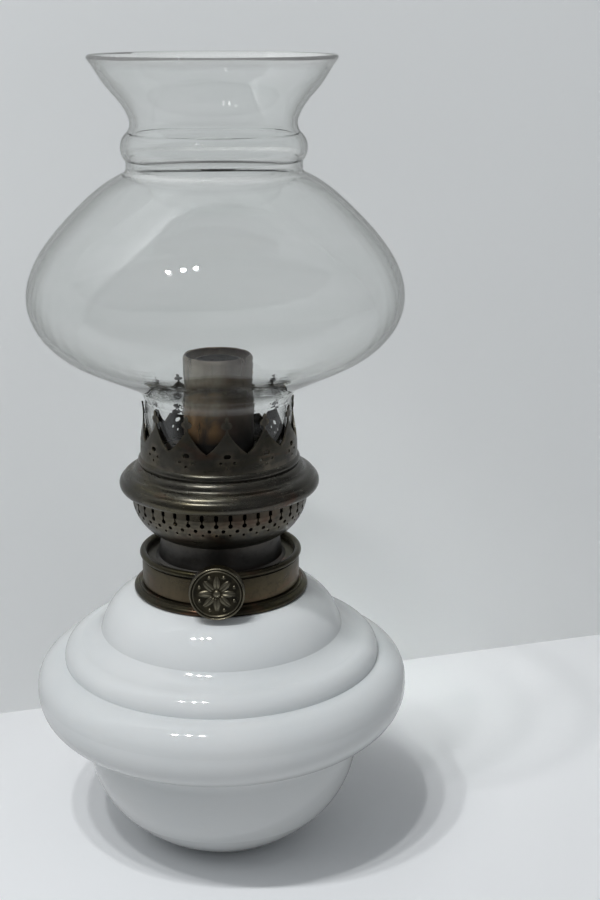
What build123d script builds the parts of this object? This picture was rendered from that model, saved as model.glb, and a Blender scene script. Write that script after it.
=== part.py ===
from build123d import *
from math import cos, hypot, pi, radians, sin
import os

# A kerosene table lamp with a round wick.
# Millimetres, +Z up, origin at the centre of the font's foot, wick knob towards -Y.
# Everything turned is a profile in (radius, height) swept round the Z axis.

# ---------------------------------------------------------------- glass font
font_r = 69.4
font_h = 100.2
font_wall = 3.2
foot_r = 21.5
neck_r = 22.5
neck_bore_r = 19.5
neck_h = 4.4

# ------------------------------------------------------- collar and its seal
flange_r = 32.3
flange_t = 2.8
collar_bore_r = 24.6
collar_wall = 1.0
collar_h = 9.2
ledge_t = 0.7
ledge_r = 21.0
seal_t = 0.8

# -------------------------------------------------------------------- burner
sheet = 0.6
drum_r = 29.1
drum_h = 9.5
bead_r = 0.8
throat_r = 23.2
waist_r = 22.0
throat_h = 9.2
basket_r = 32.1
basket_h = 17.4
basket_columns = 40
gallery_r = 36.5
gallery_h = 12.3
crown_r = 28.5
crown_h = 20.8
crown_waist_r = 27.4
crown_tip_r = 27.7
prongs = 12
first_prong_deg = 8.4

# ------------------------------------------------------ wick, tubes and duct
tube_bore_r = 11.4
tube_r = 12.9
tube_tip_r = 12.5
tube_above_floor = 36.8
tube_shoulder = 2.2
air_tube_r = 8.5
wick_gap = 0.3
wick_sunk = 7.9
duct_w = 8.0
duct_h = 9.0

# ------------------------------------------------- wick raiser, rack on the -X side
knob_r = 9.85
knob_gap = 4.3
knob_t = 2.4
knob_hub = 1.3
spindle_r = 1.25
running_gap = 0.05
teeth = 12
tooth_module = 0.6
rack_w = 2.9
raise_up = 9.0
raise_down = 6.0

# ------------------------------------------------------------------- chimney
chimney_foot_r = 26.5
chimney_wall = 1.8
globe_r = 66.5
chimney_neck_r = 28.7
rim_r = 42.6
chimney_h = 139.9

# ---------------------------------------------------------- heights that follow
neck_top = font_h + neck_h
ledge_z = neck_top + 0.3
seal_z = ledge_z + ledge_t
ring_z = seal_z + seal_t
collar_top = font_h + collar_h
drum_z = font_h + flange_t + 1.0
plate_z = drum_z + drum_h - 1.0
throat_z = plate_z + sheet
basket_z = throat_z + throat_h
gallery_z = basket_z + basket_h
crown_z = gallery_z + gallery_h
floor_z = crown_z - 0.7
tube_top = floor_z + tube_above_floor - 0.6
spindle_z = collar_top + 1.6

# ------------------------------------------------------------- wick raiser layout
pitch_r = teeth * tooth_module / 2
rack_y = -(tube_r + 2.6)
rack_x = -pitch_r
rack_z = spindle_z - raise_up - 8.5
rack_top = spindle_z + raise_down + 4.0
wick_r = tube_bore_r - wick_gap
wick_bore_r = air_tube_r + wick_gap
wick_top = tube_top - wick_sunk
tube_foot = spindle_z + 1.6
duct_z = basket_z + 8.8


def lathe(*lines):
    """Turn a closed outline, drawn as (radius, height), round the Z axis."""
    outline = Curve() + list(lines)
    return revolve(Plane.XZ * make_face(outline.edges()), Axis.Z)


def ring(r_in, r_out, z_low, z_high):
    """A plain turned ring."""
    outline = Polyline((r_in, z_low), (r_out, z_low), (r_out, z_high), (r_in, z_high), close=True)
    return lathe(outline)


def arcs(points):
    """A chain of arcs: end, middle, end, middle, end and so on."""
    starts = range(0, len(points) - 2, 2)
    return [ThreePointArc(points[i], points[i + 1], points[i + 2]) for i in starts]


def inset(points, wall):
    """The same chain moved inwards, square to its own run, by the wall thickness."""
    moved = []
    last = len(points) - 1
    for i, (r, z) in enumerate(points):
        r0, z0 = points[max(i - 1, 0)]
        r1, z1 = points[min(i + 1, last)]
        run = hypot(r1 - r0, z1 - z0)
        moved.append((r - wall * (z1 - z0) / run, z + wall * (r1 - r0) / run))
    return moved


def block(x, y, z):
    """A box given by its three (low, high) pairs."""
    size = Box(x[1] - x[0], y[1] - y[0], z[1] - z[0], align=(Align.MIN, Align.MIN, Align.MIN))
    return Pos(x[0], y[0], z[0]) * size


def facing(angle, r, z):
    """A plane that looks out from the axis, its x running round the lamp."""
    a = radians(angle)
    out = Vector(sin(a), -cos(a), 0)
    round_way = Vector(cos(a), sin(a), 0)
    return Plane(origin=(r * sin(a), -r * cos(a), z), x_dir=round_way, z_dir=out)


def around(count, first, z, outline, r_in, r_out):
    """Prisms of one outline through a wall between two radii, at equal angles."""
    step = 360 / count
    places = [facing(first + i * step, r_in, z) for i in range(count)]
    return [extrude(place * outline, r_out - r_in) for place in places]


def along_y(r, y_low, y_high, x=0.0, z=spindle_z):
    """A round bar lying along Y."""
    return Pos(x, (y_low + y_high) / 2, z) * Rot(90, 0, 0) * Cylinder(r, y_high - y_low)


# ======================================================================= font
def font_points():
    """Foot, bowl, main bulge, upper ring and dome, as shares of the font's size."""
    shares = [
        (foot_r / font_r, 0.0), (0.498, 0.080), (0.627, 0.168),
        (0.707, 0.270), (0.742, 0.400), (0.768, 0.459), (0.845, 0.488),
        (0.957, 0.535), (1.0, 0.641), (0.963, 0.712), (0.850, 0.741),
        (0.829, 0.790), (0.757, 0.812), (0.700, 0.824), (0.651, 0.852),
        (0.612, 0.918), (0.467, 1.0),
    ]
    return [(a * font_r, b * font_h) for a, b in shares]


def font_glass():
    outer = font_points()
    inner = inset(outer, font_wall)
    inner[0] = (foot_r - 2.0, font_wall + 1.4)
    inner[-1] = (neck_bore_r + 4.0, font_h - font_wall)
    head = Polyline(outer[-1], (neck_r, font_h), (neck_r, neck_top - 0.6))
    lip = ThreePointArc((neck_r, neck_top - 0.6), ((neck_r + neck_bore_r) / 2, neck_top),
                        (neck_bore_r, neck_top - 0.6))
    bore = Line((neck_bore_r, neck_top - 0.6), (neck_bore_r, font_h - font_wall + 1.0))
    throat = Line((neck_bore_r, font_h - font_wall + 1.0), inner[-1])
    floor = Polyline(inner[0], (0, font_wall + 1.0), (0, 1.6), (foot_r - 6.5, 1.2))
    kick = Polyline((foot_r - 6.5, 1.2), (foot_r - 4.5, 0), outer[0])
    return lathe(*arcs(outer), head, lip, bore, throat, *arcs(inner), floor, kick)


# ===================================================================== collar
def collar():
    """Flange over the font's shoulder and the cup that the burner screws into."""
    wall_r = collar_bore_r + collar_wall
    top = font_h + flange_t
    edge = ThreePointArc((flange_r - 0.9, font_h), (flange_r, font_h + 1.2), (flange_r - 0.9, top - 0.4))
    step = Polyline((flange_r - 0.9, top - 0.4), (flange_r - 1.6, top), (drum_r + 1.2, top),
                    (drum_r + 1.0, top + 0.6), (wall_r, top + 0.6), (wall_r, collar_top),
                    (collar_bore_r, collar_top), (collar_bore_r, seal_z), (ledge_r, seal_z),
                    (ledge_r, ledge_z), (collar_bore_r, ledge_z), (collar_bore_r, font_h),
                    (flange_r - 0.9, font_h))
    return lathe(edge, step)


def collar_cement():
    """Plaster that holds the collar to the glass neck."""
    return lathe(Polyline((neck_r, font_h), (collar_bore_r, font_h), (collar_bore_r, ledge_z),
                          (ledge_r, ledge_z), (ledge_r, neck_top), (neck_r, neck_top), close=True))


def burner_seal():
    return ring(ledge_r + 0.3, collar_bore_r - 0.4, seal_z, ring_z)


# ======================================================================= burner
def burner_thread_ring():
    """The ring that screws into the collar, with a window for the spindle."""
    body = ring(throat_r - 0.1, collar_bore_r - 0.3, ring_z, plate_z)
    return body - along_y(spindle_r + 0.75, -collar_bore_r - 2, -throat_r + 3)


def burner_drum():
    """Band, rolled top bead and sunk top plate in one spinning."""
    skin = drum_r - sheet
    top = drum_z + drum_h
    foot = Polyline((skin, plate_z), (skin, drum_z), (drum_r, drum_z), (drum_r, top - 0.5),
                    (drum_r - 0.25, top - 0.25), (drum_r, top))
    bead = ThreePointArc((drum_r, top), (drum_r + bead_r, top + 1.1), (drum_r - 0.6, top + 2.3))
    roll = ThreePointArc((drum_r - 0.6, top + 2.3), (drum_r - 1.5, top + 1.9), (drum_r - 1.7, top + 0.9))
    sunk = Polyline((drum_r - 1.7, top + 0.9), (drum_r - 1.7, throat_z), (throat_r - 1.2, throat_z),
                    (throat_r - 1.2, plate_z), (skin, plate_z))
    hole = along_y(gland_r(), -drum_r - 3, gland_end())
    return lathe(foot, bead, roll, sunk) - hole


def gland_r():
    return spindle_r + 1.0


def gland_end():
    """How far in the spindle's bush reaches, just past the drum's skin."""
    return -drum_r + 1.5 * sheet


def throat_wall(offset):
    """The waist's hollow curve, from the sunk plate up to the basket."""
    foot = (throat_r - offset, throat_z)
    middle = (waist_r + 0.25 * (throat_r - waist_r) - offset, (throat_z + basket_z) / 2)
    return ThreePointArc(foot, middle, (waist_r - offset, basket_z))


def burner_throat():
    """The narrow waist that stands on the drum's sunk plate."""
    foot = Line((throat_r, throat_z), (throat_r - sheet, throat_z))
    top = Line((waist_r, basket_z), (waist_r - sheet, basket_z))
    bead = Polyline((throat_r - 0.3, throat_z), (throat_r + 0.9, throat_z), (throat_r - 0.3, throat_z + 0.9), close=True)
    return lathe(throat_wall(0), top, throat_wall(sheet), foot) + lathe(bead)


def burner_floor():
    """Floor inside the waist, slotted for the rack."""
    plate = ring(tube_r, waist_r - sheet, basket_z - sheet, basket_z)
    slot = block((rack_x - 3.2, rack_x + 1.0), (rack_y - rack_w / 2 - 0.4, rack_y + rack_w / 2 + 0.4),
                 (basket_z - 2, basket_z + 1))
    return plate - slot


def basket_shell():
    """Bowl of the air basket, an arc up from the waist to an upright rim."""
    top = basket_z + basket_h
    turn = basket_z + 0.79 * basket_h
    side = (waist_r + 0.66 * (basket_r - waist_r), basket_z + 0.29 * basket_h)
    outer = ThreePointArc((waist_r, basket_z), side, (basket_r, turn))
    rim = Polyline((basket_r, turn), (basket_r, top), (basket_r - sheet, top), (basket_r - sheet, turn))
    inner = ThreePointArc((basket_r - sheet, turn), (side[0] - 0.42, side[1] + 0.42),
                          (waist_r - sheet, basket_z))
    foot = Line((waist_r - sheet, basket_z), (waist_r, basket_z))
    return lathe(outer, rim, inner, foot)


def air_basket():
    """The perforated basket: upright dumbbell slots over two rows of round holes."""
    step = 360 / basket_columns
    drop = 0.16 * basket_h
    stem = Pos(0, -drop / 2) * Rectangle(0.6, drop)
    dumbbell = Rectangle(1.4, 1.5) + Pos(0, 0.75) * Circle(0.7) + stem + Pos(0, -drop) * Circle(0.85)
    rows = [
        (dumbbell, 0.85, 0.0),
        (Circle(0.72), 0.575, 0.5),
        (Circle(0.5), 0.475, 0.0),
    ]
    low_r = waist_r - 1
    tools = []
    for outline, share, shift in rows:
        tools += around(basket_columns, shift * step, basket_z + share * basket_h, outline, low_r, basket_r + 1)
    return basket_shell() - tools


def gallery_flange():
    """Spun flange on the basket: torus edge, cove, ring step and base bead."""
    z = gallery_z
    r = gallery_r
    c = crown_r
    top = crown_z
    outer = arcs([
        (r - 0.9, z), (r, z + 1.8), (r - 1.2, z + 4.4),
        (r - 2.3, z + 5.7), (c + 3.9, z + 6.4),
        (c + 2.9, z + 6.9), (c + 2.5, z + 7.9),
        (c + 1.8, z + 9.0), (c + 0.5, z + 9.7),
        (c + 0.95, z + 11.0), (c, top),
    ])
    bore = Polyline((c, top), (c - sheet, top), (c - sheet, z + 8.6))
    inner = arcs([
        (c - sheet, z + 8.6), (c + 1.4, z + 6.8), (c + 3.6, z + 5.4),
        (r - 2.6, z + 4.6), (r - 1.2, z + 2.3), (r - 0.9, z + 1.4), (r - 1.6, z + sheet),
    ])
    under = Polyline((r - 1.6, z + sheet), (basket_r - 1.2, z + sheet), (basket_r - 1.2, z), (r - 0.9, z))
    return lathe(*outer, bore, *inner, under)


def prong_gap():
    """The pointed gap between two prongs, which leaves each one a stem, two arms and a round tip."""
    half = pi * crown_r / prongs + 0.2
    h = crown_h
    low = ThreePointArc((0, 0.34 * h), (half - 4.6, 0.47 * h), (half - 1.9, 0.645 * h))
    stem = ThreePointArc((half - 1.9, 0.645 * h), (half - 1.1, 0.71 * h), (half - 1.0, 0.775 * h))
    arm = ThreePointArc((half - 1.0, 0.775 * h), (half - 2.5, 0.83 * h), (half - 1.15, 0.885 * h))
    tip = ThreePointArc((half - 1.15, 0.885 * h), (half - 1.1, 0.955 * h), (half, h))
    top = Polyline((half, h), (half, h + 3), (0, h + 3))
    side = Curve() + [low, stem, arm, tip, top]
    return make_face((side + mirror(side, Plane.YZ)).edges())


def gallery_crown():
    """The pierced crown: a ring of pronged crosses round the chimney's foot."""
    h = crown_h
    outer = [
        (crown_r, crown_z), (crown_r, crown_z + 0.2 * h), (crown_r - 0.45, crown_z + 0.42 * h),
        (crown_waist_r, crown_z + 0.62 * h), (crown_tip_r, crown_z + h),
    ]
    inner = [(r - sheet, z) for r, z in reversed(outer)]
    tip = Line(outer[-1], inner[0])
    foot = Line(inner[-1], outer[0])
    shell = lathe(*arcs(outer), tip, *arcs(inner), foot)
    gaps = around(prongs, first_prong_deg + 180 / prongs, crown_z, prong_gap(), crown_r - 4, crown_r + 2)
    main = Pos(0, 0.31 * h) * SlotOverall(2.6, 1.7)
    pair = Pos(2.4, 0.2 * h) * Circle(0.6) + Pos(-2.4, 0.2 * h) * Circle(0.6)
    low = Pos(0, 0.12 * h) * Circle(0.55)
    holes = around(prongs, first_prong_deg, crown_z, main + pair + low, crown_r - 4, crown_r + 2)
    return shell - gaps - holes


def gallery_floor():
    """Pierced floor that the chimney stands on."""
    plate = ring(tube_r, crown_r - sheet, floor_z - sheet, floor_z)
    slot = Pos((tube_r + chimney_foot_r - chimney_wall) / 2, 0) * SlotOverall(7.6, 1.7)
    slots = [Rot(0, 0, i * 18) * slot for i in range(20)]
    return plate - extrude(Pos(0, 0, floor_z - 2) * (Sketch() + slots), 4)


def outer_wick_tube():
    """Flame tube: straight below the gallery, then a slight cone with a rounded shoulder."""
    wall = Polyline((tube_bore_r, tube_top - 0.3), (tube_bore_r, tube_foot), (tube_r, tube_foot),
                    (tube_r, floor_z), (tube_tip_r, tube_top - tube_shoulder))
    shoulder = ThreePointArc((tube_tip_r, tube_top - tube_shoulder), (tube_tip_r - 0.2, tube_top - 0.8),
                             (tube_bore_r + 0.5, tube_top))
    lip = Line((tube_bore_r + 0.5, tube_top), (tube_bore_r, tube_top - 0.3))
    window = block((-duct_w / 2, duct_w / 2), (0, tube_r + 2), (duct_z - duct_h / 2, duct_z + duct_h / 2))
    return lathe(wall, shoulder, lip) - window


def inner_air_tube():
    """Inner tube, closed below, with a port into the duct."""
    low = duct_z - duct_h / 2 - 1.4
    top = tube_top - 2.4
    cup = ring(0, air_tube_r, low, top) - ring(0, air_tube_r - 0.5, low + 0.6, top + 1)
    port = block((1.0 - duct_w / 2, duct_w / 2 - 1.0), (0, air_tube_r + 1),
                 (duct_z - duct_h / 2 + 1.0, duct_z + duct_h / 2 - 1.0))
    return cup - port


def air_duct():
    """Square duct that feeds the inner tube from the basket, through the wick's split."""
    w = duct_w / 2
    h = duct_h / 2
    body = block((-w, w), (0, tube_r + 1.6), (duct_z - h, duct_z + h))
    hollow = block((sheet - w, w - sheet), (0, tube_r + 3), (duct_z - h + sheet, duct_z + h - sheet))
    core = ring(0, air_tube_r, duct_z - h - 1, duct_z + h + 1)
    return body - hollow - core


# ================================================================ wick raiser
def raiser_housing():
    """Two bearing plates and a guide plate, hung under the burner floor."""
    half = rack_w / 2 + running_gap
    low = spindle_z - 3.6
    high = basket_z - sheet
    back = rack_x - 2.75 - running_gap
    x = (back - 0.8, pitch_r + 1.0)
    near = block(x, (rack_y + half, rack_y + half + 0.8), (low, high))
    far = block(x, (rack_y - half - 0.8, rack_y - half), (low, high))
    guide = block((back - 0.8, back), (rack_y - half, rack_y + half), (low, high))
    bearing = along_y(spindle_r + running_gap, rack_y - 6, rack_y + 6)
    return near + far + guide - bearing


def spindle_gland():
    """Bush through the drum wall with a hexagon against the outside."""
    bush = along_y(gland_r(), -drum_r - 2.6, gland_end())
    nut = Pos(0, -drum_r, spindle_z) * Rot(90, 0, 0) * extrude(RegularPolygon(gland_r() + 0.55, 6), 1.4)
    return bush + nut - along_y(spindle_r + running_gap, -drum_r - 4, -drum_r + 4)


def spindle():
    return along_y(spindle_r, knob_back(), rack_y + rack_w / 2 + 0.95)


def knob_back():
    """Where the knob's disc meets the spindle's end."""
    return -drum_r - knob_gap


def knob():
    """Round thumb disc with a rolled rim, a ring and a plain rosette, on a hub."""
    disc = Cylinder(knob_r, knob_t, align=(Align.CENTER, Align.CENTER, Align.MIN))
    rim = Pos(0, 0, knob_t) * Torus(knob_r - 0.45, 0.45)
    band = Pos(0, 0, knob_t) * Torus(knob_r - 1.4, 0.32)
    petal = Pos(0.38 * knob_r, 0) * Ellipse(0.24 * knob_r, 0.1 * knob_r)
    petals = [Rot(0, 0, i * 45) * petal for i in range(8)]
    rosette = Pos(0, 0, knob_t - 0.2) * extrude(Sketch() + petals, 0.5)
    boss = Pos(0, 0, knob_t) * Cylinder(0.11 * knob_r, 0.9)
    hub = Pos(0, 0, -knob_hub / 2) * (Cylinder(2.7, knob_hub) - Cylinder(spindle_r, knob_hub))
    solid = disc + rim + band + rosette + boss + hub
    return Pos(0, knob_back(), spindle_z) * Rot(90, 0, 0) * solid


def tooth_half(height):
    """Half a tooth's width at a height above the pitch line, with room for backlash."""
    return 0.25 * pi * tooth_module - 0.07 - 0.36 * height


def wick_pinion():
    """Toothed wheel on the spindle, a gap facing the rack."""
    root = pitch_r - 0.75
    tip = pitch_r + 0.5
    tooth = make_face(Polyline((root - 0.4, 0.55), (root, 0.55), (tip, tooth_half(0.5)),
                               (tip, -tooth_half(0.5)), (root, -0.55), (root - 0.4, -0.55), close=True))
    step = 360 / teeth
    wheel = Circle(root) + [Rot(0, 0, (i + 0.5) * step) * tooth for i in range(teeth)]
    gear = extrude(wheel - Circle(spindle_r), rack_w)
    return Pos(0, rack_y + rack_w / 2, spindle_z) * Rot(90, 0, 0) * gear


def wick_rack():
    """Upright rack beside the pinion, teeth towards the spindle."""
    pitch = pi * tooth_module
    back = rack_x - 2.75
    face = rack_x - 0.75
    bar = block((back, face), (rack_y - rack_w / 2, rack_y + rack_w / 2), (rack_z, rack_top))
    low = int((rack_z + 1.5 - spindle_z) / pitch)
    high = int((rack_top - 1.0 - spindle_z) / pitch)
    tooth = make_face(Polyline((face - 0.2, -0.62), (face, -0.62), (rack_x + 0.5, -tooth_half(0.5)),
                               (rack_x + 0.5, tooth_half(0.5)), (face, 0.62), (face - 0.2, 0.62), close=True))
    places = Plane(origin=(0, rack_y + rack_w / 2, spindle_z), x_dir=(1, 0, 0), z_dir=(0, -1, 0))
    cut = [extrude(places * Pos(0, i * pitch) * tooth, rack_w) for i in range(low, high + 1)]
    return bar + cut


def wick_carrier():
    """Clip round the wick, with an arm that carries the rack."""
    clip = ring(wick_r, wick_r + 1.2, rack_z - 3.0, rack_z)
    clip -= block((-duct_w / 2 - 0.6, duct_w / 2 + 0.6), (0, tube_r + 4), (rack_z - 4, rack_z + 1))
    arm = block((rack_x - 2.75, rack_x - 0.35), (rack_y - rack_w / 2, -wick_r + 0.7), (rack_z - 3.0, rack_z))
    arm -= ring(0, wick_r + 0.6, rack_z - 4, rack_z + 1)
    return clip + arm


def wick_split(z_low, z_high):
    """Clears the duct for the wick's whole travel."""
    w = duct_w / 2 + 0.6
    return block((-w, w), (0, wick_r + 2), (z_low - 1, z_high + 1))


def wick():
    low = rack_z - 4.5
    return ring(wick_bore_r, wick_r, low, wick_top) - wick_split(low, wick_top)


def wick_tail():
    """The two ends of the wick, hanging into the font on either side."""
    low = 14.0
    high = rack_z - 4.5
    tube = ring(wick_bore_r, wick_r, low, high)
    keep = block((-wick_r - 1, wick_r + 1), (-0.62 * wick_r, 0.62 * wick_r), (low, high))
    return tube & keep


# ==================================================================== chimney
def chimney_points():
    """Squashed globe, neck with its bead, and flared mouth, as shares of the chimney's sizes."""
    z0 = floor_z
    h = chimney_h
    f = chimney_foot_r
    g = globe_r - f
    k = chimney_neck_r
    n = globe_r - k
    m = rim_r - k
    globe = [(f, 0.153), (f + 0.043 * g, 0.179), (f + 0.187 * g, 0.206), (f + 0.452 * g, 0.242),
             (f + 0.695 * g, 0.279), (f + 0.862 * g, 0.321), (f + 0.975 * g, 0.377), (f + g, 0.425),
             (k + 0.947 * n, 0.489), (k + 0.807 * n, 0.553), (k + 0.510 * n, 0.641),
             (k + 0.235 * n, 0.703), (k + 0.090 * n, 0.7245)]
    neck = [(k + 0.090 * n, 0.7245), (k + 0.062 * n, 0.730), (k + 0.050 * n, 0.740),
            (k + 0.048 * n, 0.749), (k + 0.055 * n, 0.758),
            (k + 0.094 * n, 0.792), (k + 0.030 * n, 0.825),
            (k + 0.004 * n, 0.842), (k + 0.036 * m, 0.861)]
    mouth = [(k + 0.036 * m, 0.861), (k + 0.13 * m, 0.881), (k + 0.30 * m, 0.905),
             (k + 0.61 * m, 0.941), (k + 0.82 * m, 0.974), (rim_r, 1.0)]
    return [[(r, z0 + s * h) for r, s in run] for run in (globe, neck, mouth)]


def chimney_glass():
    """One blown glass with an even wall; its rim is fire-polished round."""
    globe, neck, mouth = chimney_points()
    run = globe + neck[1:] + mouth[1:]
    inner = inset(run, chimney_wall)
    a = len(globe)
    b = a + len(neck) - 1
    f = chimney_foot_r
    foot = Polyline(globe[0], (f, floor_z + 0.3), (f - 0.3, floor_z), (f - chimney_wall, floor_z), inner[0])
    (r0, z0), (r1, z1) = mouth[-1], inner[-1]
    rim = ThreePointArc((r0, z0), ((r0 + r1) / 2 + 0.2, (z0 + z1) / 2 + 0.6), (r1, z1))
    outside = [Spline(*globe), *arcs(neck), Spline(*mouth)]
    inside = [Spline(*inner[:a]), *arcs(inner[a - 1:b]), Spline(*inner[b - 1:])]
    return lathe(foot, *outside, rim, *inside)


# ===================================================================== export
nodes = {
    "font_glass": font_glass,
    "collar": collar,
    "collar_cement": collar_cement,
    "burner_seal": burner_seal,
    "burner_thread_ring": burner_thread_ring,
    "burner_drum": burner_drum,
    "burner_throat": burner_throat,
    "burner_floor": burner_floor,
    "air_basket": air_basket,
    "gallery_flange": gallery_flange,
    "gallery_crown": gallery_crown,
    "gallery_floor": gallery_floor,
    "outer_wick_tube": outer_wick_tube,
    "inner_air_tube": inner_air_tube,
    "air_duct": air_duct,
    "raiser_housing": raiser_housing,
    "spindle_gland": spindle_gland,
    "spindle": spindle,
    "knob": knob,
    "wick_pinion": wick_pinion,
    "wick_rack": wick_rack,
    "wick_carrier": wick_carrier,
    "wick": wick,
    "wick_tail": wick_tail,
    "chimney_glass": chimney_glass,
}

os.makedirs("parts", exist_ok=True)
for name, build in nodes.items():
    export_step(build(), f"parts/{name}.step")
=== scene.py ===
import math

import bpy
from mathutils import Matrix, Vector


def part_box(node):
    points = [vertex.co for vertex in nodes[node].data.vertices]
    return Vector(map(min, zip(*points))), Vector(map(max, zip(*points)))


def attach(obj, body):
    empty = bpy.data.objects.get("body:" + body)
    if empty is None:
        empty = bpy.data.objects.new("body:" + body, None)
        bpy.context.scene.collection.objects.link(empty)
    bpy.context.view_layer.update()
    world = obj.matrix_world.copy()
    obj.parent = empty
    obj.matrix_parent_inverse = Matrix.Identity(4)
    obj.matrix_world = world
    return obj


# A round-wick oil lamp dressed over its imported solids. Metres, +Z up, the wick knob towards -Y.
# Each CAD node keeps its shape and gets a node material. The one new piece is the knob's pressed face.

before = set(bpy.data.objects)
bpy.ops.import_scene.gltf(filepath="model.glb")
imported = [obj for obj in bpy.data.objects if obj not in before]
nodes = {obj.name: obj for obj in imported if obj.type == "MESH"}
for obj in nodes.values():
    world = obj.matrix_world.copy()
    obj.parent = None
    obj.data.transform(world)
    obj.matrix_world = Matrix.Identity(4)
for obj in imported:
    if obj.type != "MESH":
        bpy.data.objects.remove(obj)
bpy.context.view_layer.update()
MM = 0.001

# Levels that the finishes follow. The marks are in mm above or below them: a mark with two heights
# begins at the first and is full at the second, and each of the neck's folds is at its own height.
chimney_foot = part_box("chimney_glass")[0][2]
neck_folds = (107.7, 102.2)
hazy_rim = (137.2, 138.7)
tube_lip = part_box("outer_wick_tube")[1][2]
tube_soot = (-4, -0.5)
tube_brown = (-12.5, -23.5)
# The tube's foot mark is painted shade, for the foot stands down in the gallery.
tube_foot_shade = (-24.5, -29.5)
wick_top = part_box("wick")[1][2]
wick_char = (-5.6, 1.4)


# ---------------------------------------------------------------- node helpers
class Graph:
    """Adds shader nodes to one node tree."""

    def __init__(self, tree):
        self.tree = tree

    def join(self, socket, value):
        """Link another node's output into a socket, or set the socket to a plain value."""
        if isinstance(value, bpy.types.NodeSocket):
            self.tree.links.new(value, socket)
        elif socket.type == "RGBA":
            socket.default_value = (*value, 1.0)
        else:
            socket.default_value = value

    def feed(self, node, **values):
        """Join values to a node's inputs by name, with _ for a space."""
        for name, value in values.items():
            self.join(node.inputs[name.replace("_", " ")], value)

    def add(self, kind, **values):
        """Add a node and feed its inputs."""
        node = self.tree.nodes.new("ShaderNode" + kind)
        self.feed(node, **values)
        return node

    def ramp(self, value, stops):
        """Turn a value into a colour. Each stop is a place from 0 to 1 and its colour."""
        node = self.add("ValToRGB", Fac=value)
        elements = node.color_ramp.elements
        while len(elements) < len(stops):
            elements.new(0.5)
        for element, (place, colour) in zip(elements, stops):
            element.position = place
            element.color = (*colour, 1.0)
        return node.outputs["Color"]

    def span(self, value, low, high, to_low=0.0, to_high=1.0):
        """Carry the range from low to high over to another range, and hold it at its ends."""
        node = self.add("MapRange", Value=value, From_Min=low, From_Max=high, To_Min=to_low, To_Max=to_high)
        return node.outputs["Result"]

    def math(self, kind, *values):
        node = self.add("Math")
        node.operation = kind
        for socket, value in zip(node.inputs, values):
            self.join(socket, value)
        return node.outputs["Value"]

    def mix(self, amount, under, over):
        """Lay one colour over another by an amount from 0 to 1."""
        node = self.add("Mix")
        node.data_type = "RGBA"
        self.feed(node, Factor=amount, A=under, B=over)
        return node.outputs["Result"]

    def either(self, amount, first, second):
        """Pass from one shader to another by an amount from 0 to 1."""
        node = self.add("MixShader")
        for socket, value in zip(node.inputs, (amount, first, second)):
            self.join(socket, value)
        return node.outputs["Shader"]

    def axis(self, vector, letter):
        return self.add("SeparateXYZ", Vector=vector).outputs[letter]


class Look(Graph):
    """A material made of one Principled shader, with patterns that stay fixed to the part."""

    def __init__(self, name, **values):
        self.material = bpy.data.materials.new(name)
        self.material.use_nodes = True
        super().__init__(self.material.node_tree)
        self.shader = self.tree.nodes["Principled BSDF"]
        self.feed(self.shader, **values)
        self.coordinates = self.add("TexCoord").outputs
        self.place = self.coordinates["Object"]

    def stretched(self, upright, shift=(0, 0, 0)):
        """The place with its height multiplied: above 1 a pattern lies in bands, below 1 it stands."""
        node = self.add("Mapping", Vector=self.place, Scale=(1, 1, upright), Location=shift)
        return node.outputs["Vector"]

    def noise(self, place, scale, detail=4, rough=0.55, distort=0.0):
        """Cloudy noise from 0 to 1. The scale is in clouds per metre."""
        node = self.add("TexNoise", Vector=place, Scale=scale, Detail=detail)
        self.feed(node, Roughness=rough, Distortion=distort)
        return node.outputs["Fac"]

    def measure(self, letter, start=0.0):
        """The place along one axis, in mm from a start that is given in metres."""
        return self.math("DIVIDE", self.math("SUBTRACT", self.axis(self.place, letter), start), MM)

    def inward(self):
        """One on the faces that look at the lamp's axis, nought on the outer ones."""
        facing = self.add("VectorMath")
        facing.operation = "DOT_PRODUCT"
        self.join(facing.inputs[0], self.coordinates["Normal"])
        self.join(facing.inputs[1], self.stretched(0))
        return self.span(facing.outputs["Value"], 0.001, -0.004)

    def colour(self, value):
        self.feed(self.shader, Base_Color=value)

    def rough(self, value):
        self.feed(self.shader, Roughness=value)

    def bump(self, height, strength, depth):
        """Raise the surface where the height is greater. The depth is in mm."""
        node = self.add("Bump", Height=height, Strength=strength, Distance=depth * MM)
        self.feed(self.shader, Normal=node.outputs["Normal"])


# ------------------------------------------------------------------- materials
def opal():
    """White opal glass: milky, faintly blue, with a deep gloss and a few casting waves."""
    look = Look("opal_glass", IOR=1.5, Subsurface_Weight=0.15, Subsurface_Scale=0.005,
                Subsurface_Radius=(1.0, 0.9, 0.8))
    cloud = look.noise(look.place, 22, detail=3)
    fine = look.noise(look.stretched(3), 160)
    milk = look.ramp(cloud, [(0.3, (0.66, 0.695, 0.71)), (0.7, (0.70, 0.725, 0.735))])
    dust = look.span(fine, 0.62, 0.8, 0, 0.10)
    dust_colour = (0.62, 0.61, 0.56)
    look.colour(look.mix(dust, milk, dust_colour))
    look.rough(look.span(fine, 0.3, 0.8, 0.035, 0.09))
    look.bump(look.noise(look.stretched(1.6), 38, detail=1), strength=0.05, depth=0.6)
    return look.material


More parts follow.
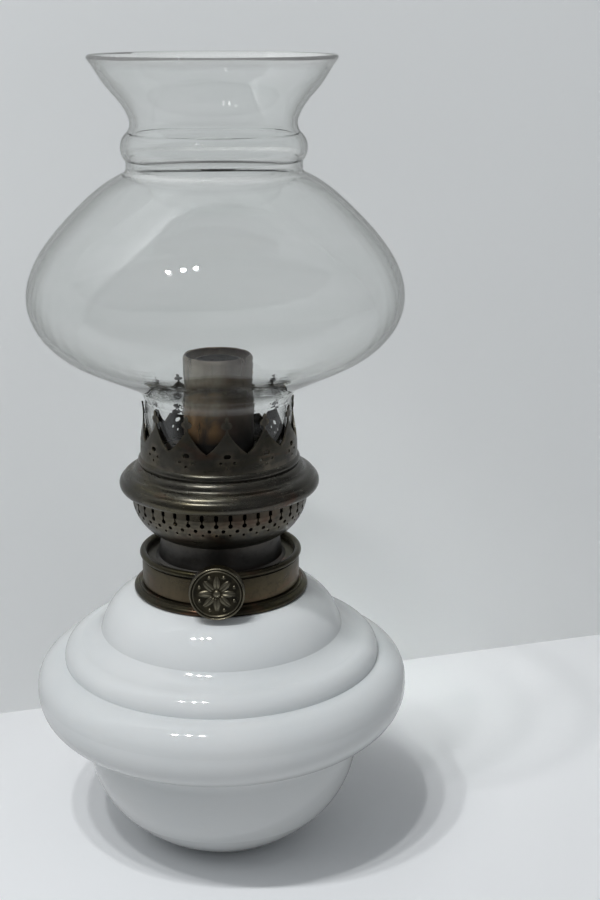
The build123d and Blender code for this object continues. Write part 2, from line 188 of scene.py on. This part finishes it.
def brass(name, dark, mid, olive, red, worn, rough=(0.22, 0.42), rub=0.35, darkening=0.0):
    """Old brass: a patina of dark and mid, olive where it thins and redder in blooms.

    Rub is how far the worn colour shows on its edges, and the last argument how dark the painted shade is
    on its inward faces.
    """
    look = Look(name, Metallic=0.9, IOR=1.5)
    cloud = look.noise(look.place, 60, detail=5, rough=0.6, distort=0.6)
    thin = look.noise(look.stretched(2.4, shift=(0.031, 0.017, 0.0)), 26, rough=0.6, distort=1.0)
    bloom = look.noise(look.stretched(3.0, shift=(0.009, 0.043, 0.02)), 34, distort=0.8)
    streak = look.noise(look.stretched(16), 60, detail=3)
    grime = look.noise(look.place, 420, rough=0.65)
    pits = look.noise(look.place, 900, detail=3)
    edge = look.add("NewGeometry").outputs["Pointiness"]
    base = look.ramp(cloud, [(0.28, dark), (0.55, mid), (0.8, dark)])
    base = look.mix(look.span(thin, 0.50, 0.66, 0, 0.8), base, olive)
    base = look.mix(look.span(bloom, 0.57, 0.70, 0, 0.75), base, red)
    base = look.mix(look.span(edge, 0.515, 0.60, 0, rub), base, worn)
    base = look.mix(look.span(grime, 0.52, 0.72, 0, 0.45), base, dark)
    # Painted shade: faces that look in towards the lamp's axis are made very dark.
    if darkening:
        inward_shade_colour = (0.010, 0.009, 0.008)
        base = look.mix(look.math("MULTIPLY", look.inward(), darkening), base, inward_shade_colour)
    look.colour(base)
    mottle = look.math("ADD", look.math("MULTIPLY", cloud, 0.6), look.math("MULTIPLY", streak, 0.4))
    look.rough(look.span(mottle, 0.32, 0.68, *rough))
    look.bump(look.math("ADD", pits, look.math("MULTIPLY", cloud, 1.5)), strength=0.22, depth=0.05)
    return look.material


def flange_brass():
    """The broad flange: smooth and rather bright."""
    return brass("flange_brass", dark=(0.058, 0.055, 0.048), mid=(0.100, 0.094, 0.080),
                 olive=(0.110, 0.096, 0.056), red=(0.120, 0.068, 0.048), worn=(0.22, 0.19, 0.14),
                 rough=(0.18, 0.34))


def band_brass():
    """The drum, its collar and the knob: darker and more olive, rubbed by hands."""
    return brass("band_brass", dark=(0.034, 0.030, 0.022), mid=(0.060, 0.053, 0.034),
                 olive=(0.105, 0.094, 0.030), red=(0.150, 0.068, 0.042), worn=(0.17, 0.13, 0.08),
                 rub=0.5)


def dark_brass():
    """The basket, the gallery and the air tube, with painted shade on the faces that look inwards."""
    return brass("dark_brass", dark=(0.042, 0.039, 0.034), mid=(0.092, 0.086, 0.072),
                 olive=(0.100, 0.088, 0.052), red=(0.105, 0.060, 0.042), worn=(0.22, 0.19, 0.14),
                 rub=0.4, darkening=0.85)


def lightened_waist_brass():
    """The burner's waist: greyer and duller, and painted lighter than the rest to make up for the shade it
    stands in.
    """
    return brass("lightened_waist_brass", dark=(0.070, 0.068, 0.066), mid=(0.130, 0.124, 0.116),
                 olive=(0.120, 0.108, 0.080), red=(0.120, 0.085, 0.070), worn=(0.20, 0.175, 0.13),
                 rough=(0.35, 0.55), rub=0.3)


def inner_brass():
    """The works inside the burner: yellower, less tarnished."""
    return brass("inner_brass", dark=(0.10, 0.076, 0.04), mid=(0.18, 0.138, 0.07),
                 olive=(0.21, 0.17, 0.08), red=(0.16, 0.09, 0.045), worn=(0.34, 0.27, 0.14),
                 rough=(0.30, 0.50))


def pressed_brass(ground):
    """The knob's face: dirt left on its ground, a Y in metres, and the raised work rubbed pale."""
    look = Look("pressed_brass", Metallic=0.9, IOR=1.5)
    cloud = look.noise(look.place, 240, rough=0.6)
    low = look.ramp(cloud, [(0.35, (0.034, 0.031, 0.023)), (0.7, (0.075, 0.065, 0.040))])
    high = look.ramp(cloud, [(0.3, (0.150, 0.140, 0.105)), (0.7, (0.260, 0.235, 0.170))])
    raised = look.span(look.measure("Y", ground), -0.3, -0.9)
    look.colour(look.mix(raised, low, high))
    look.rough(look.span(cloud, 0.3, 0.7, 0.26, 0.42))
    look.bump(look.noise(look.place, 900, detail=3), strength=0.2, depth=0.05)
    return look.material


def flame_tube():
    """Nickel plate dulled by heat: grey, streaked upright, brown low down with a coppery bloom, partly a
    painted highlight on the lit front left; painted shade on the right and at the foot.
    """
    look = Look("tarnished_nickel", Metallic=0.85, IOR=1.5)
    streak = look.noise(look.stretched(0.12), 260, detail=5, rough=0.6)
    cloud = look.noise(look.place, 80, detail=5, rough=0.65, distort=0.8)
    patch = look.noise(look.stretched(0.5, shift=(0.02, 0.01, 0.0)), 70, detail=3, rough=0.5, distort=0.6)
    brown = (0.105, 0.088, 0.066)
    rosy = (0.20, 0.13, 0.098)
    right_side_shade = (0.085, 0.062, 0.055)
    copper_highlight = (0.36, 0.215, 0.105)
    foot_shade = (0.016, 0.014, 0.012)
    smoky = (0.09, 0.075, 0.062)
    across = look.measure("X")
    rise = look.measure("Z", tube_lip)
    low = look.span(rise, *tube_brown)
    # The coppery bloom is kept to the lit front left: partly the metal's own colour and partly a painted
    # highlight.
    front = look.math("MULTIPLY", look.span(across, 3, -1), look.span(look.measure("Y"), 0, -4))
    bloom = look.math("MULTIPLY", look.math("MULTIPLY", low, look.span(cloud, 0.36, 0.52)), front)
    darkening = look.math("MULTIPLY", look.span(rise, *tube_soot), look.span(cloud, 0.3, 0.7, 0.1, 0.6))
    plate = look.ramp(streak, [
        (0.3, (0.15, 0.137, 0.112)),
        (0.5, (0.27, 0.247, 0.200)),
        (0.72, (0.17, 0.15, 0.118)),
    ])
    plate = look.mix(low, plate, brown)
    plate = look.mix(look.span(patch, 0.48, 0.60, 0, 0.5), plate, rosy)
    # Painted shade: the tube is darker towards its right side, away from the lamps.
    plate = look.mix(look.span(across, 1, 6, 0, 0.6), plate, right_side_shade)
    plate = look.mix(bloom, plate, copper_highlight)
    # Painted shade: the foot of the tube, down in the gallery, is painted very dark.
    plate = look.mix(look.span(rise, *tube_foot_shade), plate, foot_shade)
    look.colour(look.mix(darkening, plate, smoky))
    look.rough(look.span(streak, 0.3, 0.7, 0.24, 0.42))
    look.bump(streak, strength=0.25, depth=0.06)
    return look.material


def neck_haze(look, rise):
    """A little milkiness in the two folds of the chimney's neck."""
    folds = []
    for middle in neck_folds:
        distance = look.math("ABSOLUTE", look.math("SUBTRACT", rise, middle))
        folds.append(look.span(distance, 1.4, 0.4, 0, 0.16))
    return look.math("MAXIMUM", *folds)


def clear_glass():
    """Clear blown glass, grey-green at its outline, with faint drawn lines and a pale shadow."""
    look = Look("clear_glass", Roughness=0.0, IOR=1.47)
    lines = look.noise(look.stretched(6), 26, detail=2)
    tint = look.ramp(lines, [(0.3, (0.95, 0.962, 0.953)), (0.7, (0.975, 0.98, 0.975))])
    outline = (0.36, 0.38, 0.35)
    shade = (0.90, 0.905, 0.90)
    shade_outline = (0.42, 0.43, 0.42)
    slant = look.add("LayerWeight", Blend=0.5).outputs["Facing"]
    look.colour(look.mix(look.span(slant, 0.60, 0.98), tint, outline))
    rise = look.measure("Z", chimney_foot)
    rim_haze = look.span(rise, *hazy_rim, 0, 0.20)
    haze = look.math("MAXIMUM", rim_haze, neck_haze(look, rise))
    look.feed(look.shader, Transmission_Weight=look.math("SUBTRACT", 1.0, haze))
    look.bump(look.noise(look.stretched(2.5), 30, detail=1), strength=0.03, depth=0.5)
    cast = look.add("BsdfTransparent", Color=look.mix(look.span(slant, 0.5, 0.96), shade, shade_outline))
    in_shadow = look.add("LightPath").outputs["Is Shadow Ray"]
    surface = look.either(in_shadow, look.shader.outputs["BSDF"], cast.outputs["BSDF"])
    look.feed(look.tree.nodes["Material Output"], Surface=surface)
    return look.material


def cotton():
    """Round woven wick, cream cloth with a charred top."""
    look = Look("wick_cotton", Roughness=0.95, Sheen_Weight=0.3)
    char_colour = (0.012, 0.011, 0.010)
    wave = look.add("TexWave", Vector=look.place, Scale=420, Distortion=2.0)
    wave.bands_direction = "Z"
    weave = look.math("MULTIPLY", wave.outputs["Fac"], look.noise(look.place, 900, detail=2))
    cloth = look.ramp(weave, [(0.1, (0.44, 0.38, 0.28)), (0.6, (0.74, 0.68, 0.56))])
    tufts = look.math("MULTIPLY", look.noise(look.place, 300, detail=3), 4)
    ragged = look.math("ADD", look.measure("Z", wick_top), tufts)
    look.colour(look.mix(look.span(ragged, *wick_char), cloth, char_colour))
    look.bump(weave, strength=0.8, depth=0.3)
    return look.material


def plaster():
    """Pale, gritty plaster of the collar's joint."""
    look = Look("plaster", Roughness=0.92)
    grain = look.noise(look.place, 700, detail=5)
    look.colour(look.ramp(grain, [(0.3, (0.52, 0.49, 0.42)), (0.7, (0.70, 0.67, 0.60))]))
    look.bump(grain, strength=0.6, depth=0.2)
    return look.material


def leather():
    """Brown leather washer."""
    look = Look("seal_leather", Roughness=0.7)
    cells = look.add("TexVoronoi", Vector=look.place, Scale=900)
    stain = look.noise(look.place, 120)
    look.colour(look.ramp(stain, [(0.3, (0.10, 0.055, 0.03)), (0.7, (0.20, 0.12, 0.065))]))
    look.bump(cells.outputs["Distance"], strength=0.5, depth=0.2)
    return look.material


finishes = (
    (opal, ("font_glass",)),
    (plaster, ("collar_cement",)),
    (leather, ("burner_seal",)),
    (band_brass, ("collar", "burner_drum", "spindle_gland", "knob")),
    (lightened_waist_brass, ("burner_throat",)),
    (dark_brass, ("air_basket", "gallery_crown", "gallery_floor", "inner_air_tube")),
    (flange_brass, ("gallery_flange",)),
    (inner_brass, (
        "burner_thread_ring", "burner_floor", "air_duct", "raiser_housing",
        "spindle", "wick_pinion", "wick_rack", "wick_carrier",
    )),
    (flame_tube, ("outer_wick_tube",)),
    (cotton, ("wick", "wick_tail")),
    (clear_glass, ("chimney_glass",)),
)
for make, names in finishes:
    material = make()
    for name in names:
        nodes[name].data.materials.clear()
        nodes[name].data.materials.append(material)


# ------------------------------------------------------------- the knob's face
# Sizes in mm. Radii run from the disc's middle, heights from its plain face.
petals = 8
petal_middle_r = 4.2
petal_half_length = 2.6
petal_half_width = 1.3
petal_taper = 0.12
petal_height = 0.75
vein_half_width = 0.24
vein_depth = 0.35
pearl_circle_r = 6.6
pearl_r = 0.66
pearl_height = 0.62
ring_half_width = 0.34
rings = ((8.45, 0.50), (9.42, 0.66))  # a radius and a height each
boss_r = 1.35
boss_height = 0.80
plate_height = 0.24
plate_back = -0.15  # sunk into the disc
plate_inset = 0.06  # from the disc's edge
disc_sink = 0.45  # the plain face lies this far behind the knob's front
rows = 78
spokes = 176


def rounded(distance, half_width, height):
    """Height of a rounded bead at a distance from its middle."""
    return height * math.sqrt(max(0.0, 1 - (distance / half_width) ** 2))


def relief(r, turn):
    """Height of the pressed face at a radius and a turn from the disc's middle."""
    step = 2 * math.pi / petals
    off = (turn + step / 2) % step - step / 2
    along = r * math.cos(off) - petal_middle_r
    across = r * math.sin(off)
    half_width = petal_half_width - petal_taper * along
    petal = rounded(math.hypot(along / petal_half_length, across / half_width), 1.0, petal_height)
    vein = vein_depth * math.exp(-((across / vein_half_width) ** 2))
    between = abs(off) - step / 2
    pearl = rounded(math.hypot(r - pearl_circle_r, r * between), pearl_r, pearl_height)
    circles = sum(rounded(r - ring_r, ring_half_width, height) for ring_r, height in rings)
    boss = rounded(r, boss_r, boss_height)
    return plate_height + max(petal - vein, 0.0) + pearl + circles + boss


def plate_points(edge):
    """The plate's points: its middle, rings out to the edge, the back's ring and the back's middle."""
    turns = [2 * math.pi * j / spokes for j in range(spokes)]
    points = [(0.0, relief(0.0, 0.0), 0.0)]
    for i in range(1, rows + 1):
        r = edge * i / rows
        points += [(r * math.cos(turn), relief(r, turn), r * math.sin(turn)) for turn in turns]
    points += [(edge * math.cos(turn), plate_back, edge * math.sin(turn)) for turn in turns]
    points.append((0.0, plate_back, 0.0))
    return points


def plate_faces():
    """The plate's faces: a fan round each middle, and four-sided faces between the rings."""
    faces = []
    last = 1 + (rows + 1) * spokes
    for j in range(spokes):
        after = (j + 1) % spokes
        faces.append((0, 1 + j, 1 + after))
        for i in range(rows):
            ring = 1 + i * spokes
            faces.append((ring + j, ring + spokes + j, ring + spokes + after, ring + after))
        faces.append((last, last - spokes + after, last - spokes + j))
    return faces


def knob_face():
    """The knob's pressed rosette, a sealed plate lying on the disc."""
    low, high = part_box("knob")
    middle = Vector(((low[0] + high[0]) / 2, low[1], (low[2] + high[2]) / 2))
    edge = (high[2] - low[2]) / 2 / MM - plate_inset
    disc_y = low[1] + disc_sink * MM
    points = [(middle.x + x * MM, disc_y - y * MM, middle.z + z * MM) for x, y, z in plate_points(edge)]
    mesh = bpy.data.meshes.new("knob_face")
    mesh.from_pydata(points, [], plate_faces())
    mesh.materials.append(pressed_brass(disc_y))
    for face in mesh.polygons:
        face.use_smooth = True
    obj = bpy.data.objects.new("knob_face", mesh)
    bpy.context.scene.collection.objects.link(obj)
    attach(obj, "raiser")


knob_face()


# ------------------------------------------------------------------ the stage
stage_reach = 3.0
wall_gap = 0.120
wall_turn = Matrix.Rotation(math.radians(16.3), 3, "Z")
near_table = (-0.15, -0.32)  # in mirror images the table darkens from the first Y to the second
near_colour = (0.08, 0.08, 0.08)


def stage_material(name, shown, lit):
    """Pale matt paper, open from behind. What eye and glass see is set apart from what lights the lamp.

    Mirror images of its near part are dark, as of a table that ends there.
    """
    material = bpy.data.materials.new(name)
    material.use_nodes = True
    graph = Graph(material.node_tree)
    graph.tree.nodes.clear()
    path = graph.add("LightPath").outputs
    geometry = graph.add("NewGeometry").outputs
    seen = graph.math("MAXIMUM", path["Is Camera Ray"], path["Is Glossy Ray"])
    seen = graph.math("MAXIMUM", seen, path["Is Transmission Ray"])
    near = graph.span(graph.axis(geometry["Position"], "Y"), *near_table)
    mirrored = graph.math("MINIMUM", path["Glossy Depth"], 1)
    colour = graph.mix(seen, lit, shown)
    colour = graph.mix(graph.math("MULTIPLY", near, mirrored), colour, near_colour)
    paper = graph.add("BsdfDiffuse", Color=colour)
    clear = graph.add("BsdfTransparent")
    surface = graph.either(geometry["Backfacing"], paper.outputs["BSDF"], clear.outputs["BSDF"])
    graph.add("OutputMaterial", Surface=surface)
    return material


def sheet(name, corners, material):
    """A flat four-sided sheet of the stage."""
    mesh = bpy.data.meshes.new(name)
    mesh.from_pydata(corners, [], [(0, 1, 2, 3)])
    mesh.materials.append(material)
    obj = bpy.data.objects.new(name, mesh)
    bpy.context.scene.collection.objects.link(obj)


def floor():
    """The white table top."""
    ends = ((-1, -1), (1, -1), (1, 1), (-1, 1))
    corners = [(x * stage_reach, y * stage_reach, 0) for x, y in ends]
    paper = stage_material("floor_paper", shown=(0.88, 0.90, 0.92), lit=(0.70, 0.70, 0.70))
    sheet("floor", corners, paper)


def backdrop():
    """The white board behind the lamp, turned a little about the upright."""
    ends = ((-1, 0), (1, 0), (1, 1), (-1, 1))
    corners = [wall_turn @ Vector((x * stage_reach, wall_gap, z * stage_reach)) for x, z in ends]
    paper = stage_material("wall_paper", shown=(0.88, 0.905, 0.915), lit=(0.58, 0.58, 0.58))
    sheet("backdrop", corners, paper)


floor()
backdrop()


# ---------------------------------------------------------------------- lights
lamp_aim = Vector((0, -0.04, 0.18))
lamp_reach = 1.5
bulb_places = ((-43, 58.5), (-32, 62.5), (-20, 65))  # a bearing and a rise each
room_colour = (0.94, 0.97, 1.0)
room_level = 0.28
room_level_mirrored = 0.13


def lamp(name, bearing, rise, size, power, shown):
    """A round lamp aimed at the burner. Bearing runs from -Y towards +X, rise from level."""
    turn = math.radians(bearing)
    tilt = math.radians(rise)
    level = math.cos(tilt)
    outward = Vector((math.sin(turn) * level, -math.cos(turn) * level, math.sin(tilt)))
    place = lamp_aim + lamp_reach * outward
    data = bpy.data.lights.new(name, "AREA")
    data.shape = "DISK"
    data.size = size
    data.energy = power
    obj = bpy.data.objects.new(name, data)
    obj.location = place
    obj.rotation_euler = (lamp_aim - place).to_track_quat("-Z", "Y").to_euler()
    obj.visible_glossy = shown
    obj.visible_transmission = shown
    bpy.context.scene.collection.objects.link(obj)


def room():
    """Cool, even light from all round, lower in mirror images."""
    world = bpy.data.worlds.new("world")
    world.use_nodes = True
    bpy.context.scene.world = world
    graph = Graph(world.node_tree)
    mirrored = graph.add("LightPath").outputs["Glossy Depth"]
    level = graph.span(mirrored, 0, 1, room_level, room_level_mirrored)
    graph.feed(graph.tree.nodes["Background"], Color=room_colour, Strength=level)


for i, (bearing, rise) in enumerate(bulb_places):
    lamp(f"bulb_{i}", bearing, rise, size=0.06, power=4.3, shown=True)
lamp("key", -42, 48, size=0.5, power=1.8, shown=False)
lamp("fill", 45, 35, size=0.9, power=0.2, shown=False)
room()


# ------------------------------------------------------------------ the camera
camera_reach = 0.5158  # level distance from the lamp's axis
camera_height = 0.3066
camera_side = math.radians(2.6)  # how far round it stands from the knob
camera_pitch = math.radians(16.628)  # how far down it looks
camera_yaw = math.radians(3.28)  # how far to the right of the axis it looks
lens_mm = 58.916
film_mm = 36


def stand_camera():
    """The camera stands a little to the right of the knob and looks down on the lamp."""
    turn = Matrix.Rotation(camera_side, 3, "Z")
    level = math.cos(camera_pitch)
    view = Vector((math.sin(camera_yaw) * level, math.cos(camera_yaw) * level, -math.sin(camera_pitch)))
    ahead = turn @ view
    right = turn @ Vector((math.cos(camera_yaw), -math.sin(camera_yaw), 0))
    up = right.cross(ahead)
    data = bpy.data.cameras.new("camera")
    data.lens = lens_mm
    data.sensor_width = film_mm
    data.clip_start = 0.01
    camera = bpy.data.objects.new("camera", data)
    bpy.context.scene.collection.objects.link(camera)
    basis = Matrix((right, up, -ahead)).transposed().to_4x4()
    camera.matrix_world = Matrix.Translation(turn @ Vector((0, -camera_reach, camera_height))) @ basis
    bpy.context.scene.camera = camera


stand_camera()
bpy.context.scene.view_settings.view_transform = "Standard"
